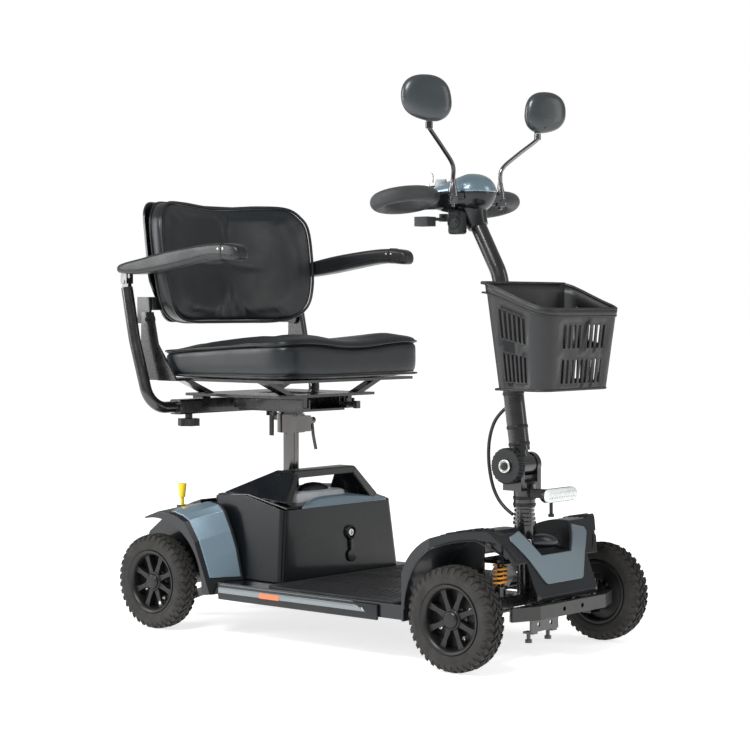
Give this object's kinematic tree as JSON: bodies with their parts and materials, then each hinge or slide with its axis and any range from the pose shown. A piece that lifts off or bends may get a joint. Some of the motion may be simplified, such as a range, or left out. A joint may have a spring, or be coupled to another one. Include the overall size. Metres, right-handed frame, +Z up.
{
  "type": "mobility scooter",
  "caption": "Four-wheeled travel mobility scooter with a swivelling padded seat, folding tiller, front basket, mirrors and a lift-out battery box.",
  "frame": {"origin": "on the ground plane under the centre of the overall box", "axes": "+Z up, -Y towards the front of the scooter, +X towards the rider's left"},
  "size_m": [0.568, 1.039, 1.1199],
  "materials": {
    "cover_plastic": "semi-gloss dark charcoal moulded plastic",
    "panel_blue": "glossy metallic blue-grey paint on plastic",
    "frame_steel": "gloss black powder coat on steel",
    "bright_steel": "zinc-plated steel",
    "cast_alloy": "raw cast aluminium",
    "rim_alloy": "satin dark grey paint on alloy",
    "tyre_rubber": "matte brown-grey rubber",
    "seat_leather": "matte black leatherette with piping",
    "foam_grip": "matte black foam rubber",
    "mat_rubber": "ribbed dark rubber",
    "trim_grey": "light blue-grey plastic above black",
    "spring_orange": "orange-yellow paint on spring steel",
    "lever_yellow": "bright yellow plastic knob",
    "lamp_white": "translucent white lens",
    "basket_plastic": "dark grey plastic",
    "mirror_shell": "matte black plastic shell with its glass",
    "stem_chrome": "black chrome",
    "battery_plastic": "satin black plastic",
    "cable_rubber": "black cable sheath",
    "dial_grey": "light grey plastic"
  },
  "bodies": {
    "chassis": {"main_frame": "frame_steel", "drive_unit": "cast_alloy", "floor_pan": "cover_plastic", "floor_mat": "mat_rubber", "side_trims": "trim_grey", "front_cover": "cover_plastic", "front_fascia": "panel_blue", "front_bumper": "cover_plastic", "rear_cover": "cover_plastic", "rear_fender_panels": "panel_blue"},
    "anti_tip": {"anti_tip_rollers": "tyre_rubber"},
    "freewheel": {"freewheel_lever": "lever_yellow"},
    "front_suspension": {"front_axle": "frame_steel", "shock_springs": "spring_orange"},
    "steer_knuckle_right": {"knuckle_right": "frame_steel"},
    "steer_knuckle_left": {"knuckle_left": "frame_steel"},
    "steer_link": {"tie_rod": "frame_steel"},
    "front_wheel_right": {"front_tyre_right": "tyre_rubber", "front_rim_right": "rim_alloy"},
    "front_wheel_left": {"front_tyre_left": "tyre_rubber", "front_rim_left": "rim_alloy"},
    "rear_wheel_right": {"rear_tyre_right": "tyre_rubber", "rear_rim_right": "rim_alloy"},
    "rear_wheel_left": {"rear_tyre_left": "tyre_rubber", "rear_rim_left": "rim_alloy"},
    "steering": {"steering_column": "frame_steel", "headlight": "lamp_white", "tiller_cable": "cable_rubber"},
    "tiller_lock": {"fold_knob": "cover_plastic"},
    "tiller": {"tiller_tube": "frame_steel", "tiller_head": "cover_plastic", "tiller_shroud": "panel_blue", "hand_loops": "foam_grip", "mirror_stems": "stem_chrome"},
    "basket_body": {"basket": "basket_plastic"},
    "mirror_right": {"mirror_head_right": "mirror_shell"},
    "mirror_left": {"mirror_head_left": "mirror_shell"},
    "throttle": {"throttle_lever": "foam_grip"},
    "dial": {"speed_dial": "dial_grey"},
    "key": {"ignition_key": "dial_grey"},
    "horn": {"horn_button": "dial_grey"},
    "post": {"seat_post": "frame_steel"},
    "post_clamp": {"clamp_lever": "bright_steel"},
    "swivel": {"seat_swivel": "frame_steel"},
    "swivel_release": {"swivel_lever": "cover_plastic"},
    "seat": {"seat_frame": "frame_steel", "seat_cushion": "seat_leather"},
    "slide_release": {"slide_lever": "frame_steel"},
    "arm_tube_right": {"armrest_tube_right": "frame_steel"},
    "arm_tube_left": {"armrest_tube_left": "frame_steel"},
    "arm_right": {"armrest_right": "foam_grip"},
    "arm_left": {"armrest_left": "foam_grip"},
    "knob_right": {"width_knob_right": "cover_plastic"},
    "knob_left": {"width_knob_left": "cover_plastic"},
    "backrest": {"backrest_shell": "cover_plastic", "backrest_cushion": "seat_leather"},
    "battery_pack": {"battery_case": "battery_plastic", "battery_lid": "battery_plastic", "battery_cells": "battery_plastic"},
    "charge_cover": {"charge_flap": "battery_plastic"}
  },
  "joints": [
    {"name": "anti_tip_spin", "type": "hinge", "parent": "chassis", "child": "anti_tip", "pos_m": [0, 0.495, 0.038], "axis": [1, 0, 0], "continuous": true},
    {"name": "freewheel_throw", "type": "hinge", "parent": "chassis", "child": "freewheel", "pos_m": [-0.18, 0.39, 0.244], "axis": [1, 0, 0], "range_deg": [0, 25]},
    {"name": "front_suspension_travel", "type": "slide", "parent": "chassis", "child": "front_suspension", "axis": [0, 0, 1], "range_m": [-0.008, 0.008], "stiffness_N_per_m": 60000, "springref_m": -0.0055, "deforming": ["shock_springs"]},
    {"name": "steer_right", "type": "hinge", "parent": "front_suspension", "child": "steer_knuckle_right", "pos_m": [-0.21, -0.4, 0.1], "axis": [0, 0, 1], "range_deg": [-35, 35]},
    {"name": "steer_left", "type": "hinge", "parent": "front_suspension", "child": "steer_knuckle_left", "pos_m": [0.21, -0.4, 0.1], "axis": [0, 0, 1], "range_deg": [-35, 35]},
    {"name": "steer_link_pivot", "type": "hinge", "parent": "steer_knuckle_right", "child": "steer_link", "pos_m": [-0.21, -0.35, 0.084], "axis": [0, 0, 1], "range_deg": [-35, 35]},
    {"name": "front_wheel_right_spin", "type": "hinge", "parent": "steer_knuckle_right", "child": "front_wheel_right", "pos_m": [-0.242, -0.4, 0.1], "axis": [1, 0, 0], "continuous": true},
    {"name": "front_wheel_left_spin", "type": "hinge", "parent": "steer_knuckle_left", "child": "front_wheel_left", "pos_m": [0.242, -0.4, 0.1], "axis": [1, 0, 0], "continuous": true},
    {"name": "rear_wheel_right_spin", "type": "hinge", "parent": "chassis", "child": "rear_wheel_right", "pos_m": [-0.242, 0.4, 0.1], "axis": [1, 0, 0], "continuous": true},
    {"name": "rear_wheel_left_spin", "type": "hinge", "parent": "chassis", "child": "rear_wheel_left", "pos_m": [0.242, 0.4, 0.1], "axis": [1, 0, 0], "continuous": true},
    {"name": "tiller_steer", "type": "hinge", "parent": "chassis", "child": "steering", "pos_m": [0, -0.38, 0.2], "axis": [0, 0, 1], "range_deg": [-35, 35]},
    {"name": "fold_knob_turn", "type": "hinge", "parent": "steering", "child": "tiller_lock", "pos_m": [0, -0.373, 0.371], "axis": [1, 0, 0], "continuous": true},
    {"name": "tiller_fold", "type": "hinge", "parent": "steering", "child": "tiller", "pos_m": [0, -0.373, 0.371], "axis": [1, 0, 0], "range_deg": [-10, 12], "deforming": ["tiller_cable"]},
    {"name": "basket_lift", "type": "slide", "parent": "tiller", "child": "basket_body", "axis": [0, 0, 1], "range_m": [0, 0.06]},
    {"name": "mirror_right_aim", "type": "hinge", "parent": "tiller", "child": "mirror_right", "pos_m": [-0.176, -0.282, 1.032], "axis": [0, 0, 1], "range_deg": [-25, 25]},
    {"name": "mirror_left_aim", "type": "hinge", "parent": "tiller", "child": "mirror_left", "pos_m": [0.176, -0.282, 1.032], "axis": [0, 0, 1], "range_deg": [-25, 25]},
    {"name": "throttle_swing", "type": "hinge", "parent": "tiller", "child": "throttle", "pos_m": [0, -0.178, 0.857], "axis": [0, 0, 1], "range_deg": [-12, 12], "stiffness_Nm_per_rad": 1.2},
    {"name": "speed_dial_turn", "type": "hinge", "parent": "tiller", "child": "dial", "pos_m": [-0.026, -0.192, 0.92], "axis": [0, 0, 1], "range_deg": [-135, 135]},
    {"name": "ignition_turn", "type": "hinge", "parent": "tiller", "child": "key", "pos_m": [-0.018, -0.152, 0.918], "axis": [0, 0, 1], "range_deg": [0, 90]},
    {"name": "horn_press", "type": "slide", "parent": "tiller", "child": "horn", "axis": [0, 0, -1], "range_m": [0, 0.002], "stiffness_N_per_m": 600, "springref_m": -0.001},
    {"name": "seat_height", "type": "slide", "parent": "chassis", "child": "post", "axis": [0, 0, 1], "range_m": [-0.018, 0.06]},
    {"name": "post_clamp_turn", "type": "hinge", "parent": "post", "child": "post_clamp", "pos_m": [0.039, 0.215, 0.435], "axis": [1, 0, 0], "range_deg": [0, 90]},
    {"name": "seat_turn", "type": "hinge", "parent": "post", "child": "swivel", "pos_m": [0, 0.24, 0.456], "axis": [0, 0, 1], "range_deg": [-90, 90]},
    {"name": "swivel_release_pull", "type": "hinge", "parent": "swivel", "child": "swivel_release", "pos_m": [-0.044, 0.256, 0.453], "axis": [0, 1, 0], "range_deg": [0, 60], "stiffness_Nm_per_rad": 0.05, "springref_deg": -11.46},
    {"name": "seat_slide", "type": "slide", "parent": "swivel", "child": "seat", "axis": [0, 1, 0], "range_m": [-0.05, 0.05]},
    {"name": "slide_release_pull", "type": "hinge", "parent": "seat", "child": "slide_release", "pos_m": [0.046, 0.138, 0.476], "axis": [1, 0, 0], "range_deg": [-20, 0], "stiffness_Nm_per_rad": 0.1, "springref_deg": 11.46},
    {"name": "arm_width_right", "type": "slide", "parent": "seat", "child": "arm_tube_right", "axis": [-1, 0, 0], "range_m": [0, 0.05]},
    {"name": "arm_width_left", "type": "slide", "parent": "seat", "child": "arm_tube_left", "axis": [1, 0, 0], "range_m": [0, 0.05]},
    {"name": "arm_right_lift", "type": "hinge", "parent": "arm_tube_right", "child": "arm_right", "pos_m": [-0.263, 0.47, 0.732], "axis": [-1, 0, 0], "range_deg": [0, 95]},
    {"name": "arm_left_lift", "type": "hinge", "parent": "arm_tube_left", "child": "arm_left", "pos_m": [0.263, 0.47, 0.732], "axis": [-1, 0, 0], "range_deg": [0, 95]},
    {"name": "width_knob_right_turn", "type": "hinge", "parent": "seat", "child": "knob_right", "pos_m": [-0.15, 0.4, 0.43], "axis": [0, 0, 1], "continuous": true},
    {"name": "width_knob_left_turn", "type": "hinge", "parent": "seat", "child": "knob_left", "pos_m": [0.15, 0.4, 0.43], "axis": [0, 0, 1], "continuous": true},
    {"name": "backrest_fold", "type": "hinge", "parent": "seat", "child": "backrest", "pos_m": [0, 0.44, 0.652], "axis": [1, 0, 0], "range_deg": [0, 65]},
    {"name": "battery_lift", "type": "slide", "parent": "chassis", "child": "battery_pack", "axis": [0, 0, 1], "range_m": [0, 0.03]},
    {"name": "charge_flap_swing", "type": "hinge", "parent": "battery_pack", "child": "charge_cover", "pos_m": [0.029, 0.0918, 0.189], "axis": [-1, 0, 0], "range_deg": [0, 175]}
  ],
  "couplings": [
    {"joint": "steer_right", "follows": "tiller_steer", "ratio": 1},
    {"joint": "steer_left", "follows": "tiller_steer", "ratio": 1},
    {"joint": "steer_link_pivot", "follows": "tiller_steer", "ratio": -1}
  ]
}
